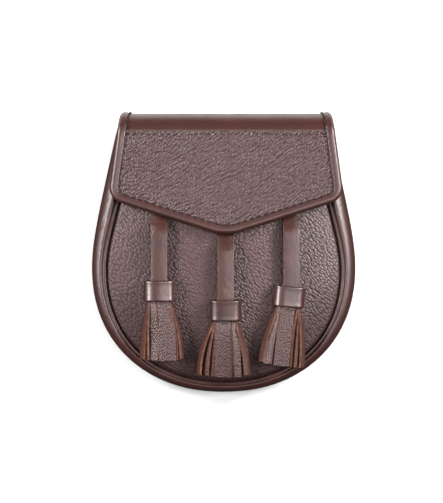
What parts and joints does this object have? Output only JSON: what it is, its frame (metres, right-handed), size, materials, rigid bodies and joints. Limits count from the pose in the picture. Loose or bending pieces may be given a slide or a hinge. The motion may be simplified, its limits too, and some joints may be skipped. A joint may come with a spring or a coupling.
{
  "type": "sporran pouch",
  "caption": "Domed leather belt pouch with a rolled gusset, a bound flap folding over from the back, flat straps with fringed tassels on the front, and plain loops behind.",
  "frame": {"origin": "middle of the plane that the pouch rests on, lying on its back", "axes": "+X to the right as the front is seen, +Y up towards the fold of the flap, +Z out of the front"},
  "size_m": [0.1908, 0.2027, 0.0518],
  "materials": {
    "smooth_leather": "smooth, semi-gloss dark brown",
    "pebbled_leather": "pebble-grained, soft sheen dark brown",
    "antique_brass": "dull antique"
  },
  "bodies": {
    "root": {"back_panel": "smooth_leather", "gusset": "smooth_leather", "front_panel": "pebbled_leather", "flap_hinge": "smooth_leather", "flap_panel": "pebbled_leather", "flap_binding": "smooth_leather", "flap_stud": "antique_brass", "tassel_strap_left": "smooth_leather", "tassel_strap_centre": "smooth_leather", "tassel_strap_right": "smooth_leather", "tassel_collar_left": "smooth_leather", "tassel_collar_centre": "smooth_leather", "tassel_collar_right": "smooth_leather", "tassel_fringe_left": "pebbled_leather", "tassel_fringe_centre": "pebbled_leather", "tassel_fringe_right": "pebbled_leather", "belt_loop_left": "smooth_leather", "belt_loop_right": "smooth_leather"}
  },
  "joints": []
}
